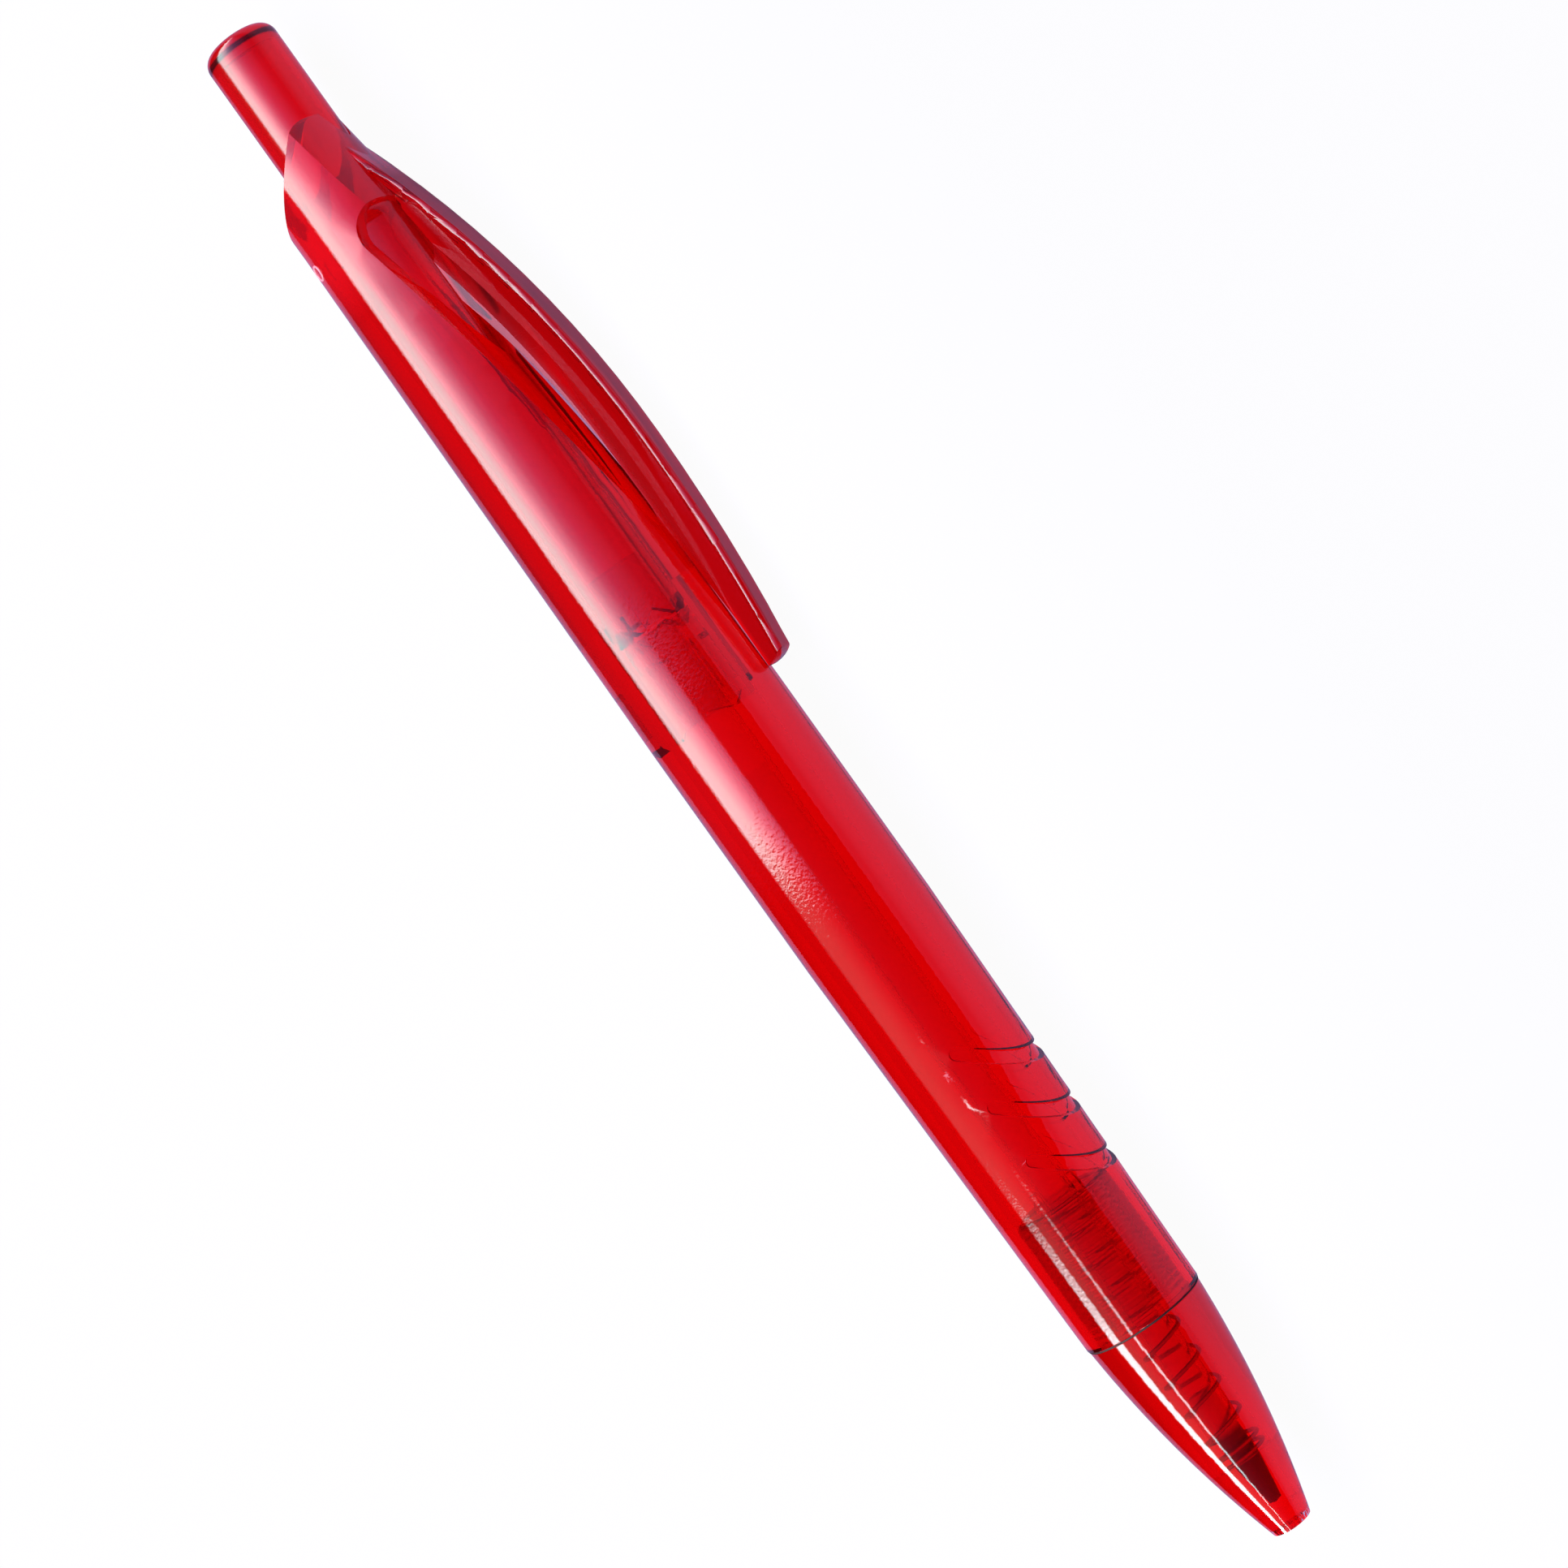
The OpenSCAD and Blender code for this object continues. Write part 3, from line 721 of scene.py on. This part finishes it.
@dataclass
class ClickMechanism:
    """Push button and cam rotor, seen through the barrel's wall."""

    # Moulded polystyrene with a less polished head, so its highlight is softer than the barrel's.
    button: ButtonMoulding = ButtonMoulding("moulded_red_button")
    # Moulded acetal, lightly dyed in the same red: a block with thin outlines behind the wall.
    rotor: ClearMoulding = ClearMoulding(
        "moulded_red_acetal",
        colour="#ff1030",
        see_through=0.95,
        roughness=0.1,
        ior=1.48,
        dye_per_m=20.0,
    )

    def build(self, nodes: dict[str, bpy.types.Object]) -> None:
        """Dresses button and rotor.

        Args:
            nodes: CAD nodes by name.
        """
        dress(nodes[Node.BUTTON.value], self.button)
        dress(nodes[Node.ROTOR.value], self.rotor)


@dataclass
class Refill:
    """Refill with its tube, ink, metal tip and writing ball."""

    # Extruded polypropylene: milky clear with a soft gloss.
    tube: ClearMoulding = ClearMoulding(
        "extruded_polypropylene",
        colour="#fff6f4",
        see_through=0.98,
        roughness=0.1,
        ior=1.49,
        dye="#f3e7e7",
        dye_per_m=60.0,
    )
    # Red dye ink: a pure red core in the tube.
    ink: ClearMoulding = ClearMoulding(
        "red_dye_ink",
        colour="#ff1a10",
        see_through=0.99,
        roughness=0.1,
        ior=1.45,
        dye="#fd2727",
    )
    # Turned nickel silver: a dark cone in the nose, with a brighter shank behind it.
    tip: TurnedTip = TurnedTip("turned_nickel_silver", "#5f5248", 1.0, 0.3)
    # Ground carbide: a dark mirror.
    ball: PlainFinish = PlainFinish("ground_carbide", "#8c8c90", 1.0, 0.15)

    def build(self, nodes: dict[str, bpy.types.Object]) -> None:
        """Dresses the refill's nodes.

        Args:
            nodes: CAD nodes by name.
        """
        dress(nodes[Node.TUBE.value], self.tube)
        dress(nodes[Node.INK.value], self.ink)
        dress(nodes[Node.TIP.value], self.tip)
        dress(nodes[Node.BALL.value], self.ball)


@dataclass
class ReturnSpring:
    """Coil spring in the nose, with closed turns at both ends and open turns between."""

    # Drawn steel wire: a grey mirror that takes the red of the nose around it.
    wire: PlainFinish = PlainFinish("drawn_spring_wire", "#b9b6b4", 1.0, 0.22)
    seat_x: float = -63.4
    length: float = 24.2
    wire_d: float = 0.36
    coil_r: float = 1.9
    open_turns: int = 8
    closed_turns: float = 1.5
    closed_gap: float = 0.46
    seat_gap: float = 0.02
    travel: float = 6.8
    steps: int = 48
    sides: int = 16

    def build(self, nodes: dict[str, bpy.types.Object]) -> None:
        """Winds the wire by spinning its section up the axis, in place of the CAD spring.

        Args:
            nodes: CAD nodes by name, of which the spring's is replaced.
        """
        shape = bmesh.new()
        closed_pitch = self.wire_d + self.closed_gap
        wound = self.length - self.wire_d - 2 * self.seat_gap
        open_pitch = (wound - 2 * self.closed_turns * closed_pitch) / self.open_turns
        start = self.seat_x + self.seat_gap + self.wire_d / 2
        centre = Vector((start, AXIS_Y, AXIS_Z)) * MM
        section = bmesh.ops.create_circle(
            shape,
            cap_ends=True,
            segments=self.sides,
            radius=self.wire_d / 2 * MM,
            matrix=Matrix.Translation(centre + Vector((0, 0, self.coil_r * MM)))
            @ Matrix.Rotation(math.pi / 2, 4, "X"),
        )
        geom = list(section["verts"]) + list(shape.edges) + list(shape.faces)
        for turns, pitch in (
            (self.closed_turns, closed_pitch),
            (self.open_turns, open_pitch),
            (self.closed_turns, closed_pitch),
        ):
            made = bmesh.ops.spin(
                shape,
                geom=geom,
                cent=centre,
                axis=(1, 0, 0),
                dvec=Vector((pitch * MM / self.steps, 0, 0)),
                angle=2 * math.pi * turns,
                steps=round(turns * self.steps),
            )
            geom = made["geom_last"]
        bmesh.ops.remove_doubles(shape, verts=shape.verts, dist=WELD_M)
        bmesh.ops.recalc_face_normals(shape, faces=shape.faces)
        spring = finish_mesh("spring_coil", shape)
        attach(spring, Body.BARREL.value)
        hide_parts(Node.SPRING.value)
        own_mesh(spring)
        dress(spring, self.wire)


@dataclass
class Studio:
    """Pale floor, soft overhead light and the photograph's camera."""

    # Lengths are in mm and angles in degrees.
    camera_rise: float = 44.8
    camera_turn: float = 54.484
    camera_distance: float = 250.0
    camera_near: float = 10.0
    picture_width: float = 120.45
    target_x: float = -1.17
    target_to_clip: float = 1.19
    floor_size: float = 2000.0
    floor_drop: float = 0.05
    paper: PaperSweep = PaperSweep("white_paper_sweep", "#736386")
    light_paths: int = 32
    window_strength: float = 10.5
    white_strength: float = 0.9
    daylight: str = "#d3fdff"
    lamp_gain: float = 1.7
    # Light by the angle over the pen, in degrees from the near horizon to the far one.
    arch: tuple[tuple[float, str], ...] = (
        (0, "#161021"),
        (20, "#1d162c"),
        (41, "#38304d"),
        (54, "#4b3d61"),
        (67, "#6c5f81"),
        (80, "#a297b3"),
        (94, "#edd8e7"),
        (105, "#d3fdff"),
        (119, "#d3fdff"),
        (124, "#100a12"),
        (180, "#0d0710"),
    )
    # How much of it there is towards the nose (-1) and towards the button (1).
    panes: tuple[Span, ...] = ((-1, 0.06), (-0.03, 0.06), (-0.01, 1), (1, 1))
    # The front light, below these angles, ends nearer to the button than the window over it.
    front_panes: tuple[Span, ...] = ((-1, 0.06), (0.06, 0.06), (0.085, 1), (1, 1))
    front_below: Span = (62.0, 66.0)
    # A second, narrower lamp by the same angle, and where along the pen it reaches.
    lamp: tuple[Span, ...] = (
        (0, 0),
        (78, 0),
        (80, 0.7),
        (82, 0.7),
        (84, 0),
        (106, 0),
        (109, 1),
        (120, 1),
        (123, 0),
        (180, 0),
    )
    lamp_reach: tuple[Span, ...] = ((-1, 1), (-0.23, 1), (-0.17, 0), (1, 0))

    def build(self) -> None:
        """Sets up camera, floor and light."""
        self.camera()
        self.floor()
        self.room()
        scene = bpy.context.scene
        scene.view_settings.view_transform = "Standard"
        # Light has to cross many walls of clear plastic before it is dropped.
        scene.cycles.max_bounces = self.light_paths
        scene.cycles.glossy_bounces = self.light_paths
        scene.cycles.transmission_bounces = self.light_paths

    def camera(self) -> None:
        """Sets the camera at the photograph's angle, rolled so the pen runs corner to corner."""
        rise = math.radians(self.camera_rise)
        turn = math.radians(self.camera_turn)
        back = Vector((0, -math.cos(rise), math.sin(rise)))
        to_nose = Vector((-1, 0, 0))
        to_clip = Vector((0, -math.sin(rise), -math.cos(rise)))
        right = math.cos(turn) * to_nose + math.sin(turn) * to_clip
        up = -math.sin(turn) * to_nose + math.cos(turn) * to_clip
        target = Vector((self.target_x, AXIS_Y, AXIS_Z)) + self.target_to_clip * to_clip
        place = (target + self.camera_distance * back) * MM
        data = bpy.data.cameras.new("photo_camera")
        data.sensor_fit = "HORIZONTAL"
        data.lens_unit = "FOV"
        data.angle = 2 * math.atan(self.picture_width / 2 / self.camera_distance)
        data.clip_start = self.camera_near * MM
        camera = bpy.data.objects.new("photo_camera", data)
        turned = Matrix((right, up, back)).transposed().to_4x4()
        camera.matrix_world = Matrix.Translation(place) @ turned
        bpy.context.scene.collection.objects.link(camera)
        bpy.context.scene.camera = camera
        LOG.info("camera: %.1f degrees up", self.camera_rise)

    def floor(self) -> None:
        """Lays a pale floor that shows as white and keeps a soft shadow."""
        shape = bmesh.new()
        bmesh.ops.create_grid(shape, x_segments=1, y_segments=1, size=self.floor_size * MM)
        bmesh.ops.translate(shape, verts=shape.verts, vec=(0, 0, -self.floor_drop * MM))
        floor = finish_mesh("floor", shape)
        dress(floor, self.paper)

    def room(self) -> None:
        """Lights the pen from above, and shows as white to the camera and through the plastic."""
        world = bpy.data.worlds.new("studio")
        world.use_nodes = True
        tree = world.node_tree
        tree.nodes.clear()
        path = add(tree, "ShaderNodeLightPath").outputs
        seen = combined(tree, "MAXIMUM", path["Is Camera Ray"], path["Is Transmission Ray"])
        lit = add(
            tree,
            "ShaderNodeBackground",
            values={"Strength": self.window_strength},
            links={"Color": self.lights(tree)},
        )
        white = add(
            tree,
            "ShaderNodeBackground",
            values={"Color": linear("#ffffff"), "Strength": self.white_strength},
        )
        mix = add(
            tree,
            "ShaderNodeMixShader",
            links={0: seen, 1: lit.outputs[0], 2: white.outputs[0]},
        )
        add(tree, "ShaderNodeOutputWorld", links={"Surface": mix.outputs[0]})
        bpy.context.scene.world = world
        LOG.info("room: window at %.1f", self.window_strength)

    def lights(self, tree: bpy.types.NodeTree) -> bpy.types.NodeSocket:
        """Gives a long bright window overhead that fades to a dim lilac front, and a lamp.

        Args:
            tree: Tree of the world.

        Returns:
            The colour of the light by its direction.
        """
        place = add(tree, "ShaderNodeTexCoord")
        way = add(tree, "ShaderNodeSeparateXYZ", links={0: place.outputs["Generated"]}).outputs
        turn = combined(tree, "ARCTAN2", way[2], combined(tree, "MULTIPLY", way[1], -1.0))
        over = graded(tree, turn, (0.0, math.pi))
        along = graded(tree, way[0], (-1.0, 1.0))
        arch = self.ramp(tree, over, [(a / HALF_TURN, linear(c)) for a, c in self.arch])
        beam = self.ramp(tree, over, [(a / HALF_TURN, grey(s)) for a, s in self.lamp])
        panes, front_panes, reach = (
            self.ramp(tree, along, [((x + 1) / 2, grey(s)) for x, s in stops])
            for stops in (self.panes, self.front_panes, self.lamp_reach)
        )
        low, high = self.front_below
        length = add(
            tree,
            "ShaderNodeMix",
            {"data_type": "RGBA"},
            links={
                0: graded(tree, over, (low / HALF_TURN, high / HALF_TURN)),
                6: front_panes,
                7: panes,
            },
        )
        window = add(
            tree,
            "ShaderNodeMix",
            {"data_type": "RGBA", "blend_type": "MULTIPLY"},
            values={0: 1.0},
            links={6: arch, 7: length.outputs[2]},
        )
        lamp = add(
            tree,
            "ShaderNodeMix",
            {"data_type": "RGBA", "blend_type": "MULTIPLY"},
            values={0: 1.0, 7: [c * self.lamp_gain for c in linear(self.daylight)]},
            links={6: beam},
        )
        both = add(
            tree,
            "ShaderNodeMix",
            {"data_type": "RGBA", "blend_type": "ADD"},
            links={0: reach, 6: window.outputs[2], 7: lamp.outputs[2]},
        )
        return both.outputs[2]

    @staticmethod
    def ramp(
        tree: bpy.types.NodeTree,
        share: bpy.types.NodeSocket,
        stops: list[tuple[float, Colour]],
    ) -> bpy.types.NodeSocket:
        """Adds a colour ramp with its stops.

        Args:
            tree: Tree of the world.
            share: Place on the ramp, from 0 to 1.
            stops: Positions and linear colours, in rising order.

        Returns:
            The ramp's colour.
        """
        node = add(tree, "ShaderNodeValToRGB", links={0: share})
        elements = node.color_ramp.elements
        while len(elements) < len(stops):
            elements.new(1.0)
        for element, (place, colour) in zip(elements, stops):
            element.position = place
            element.color = colour
        return node.outputs[0]


def main() -> None:
    """Loads the frame, dresses every piece and sets up the studio."""
    logging.basicConfig(level=logging.INFO)
    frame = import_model()
    for group in (Shell(), ClickMechanism(), Refill(), ReturnSpring()):
        group.build(frame["nodes"])
    Studio().build()


if __name__ == "__main__":
    main()
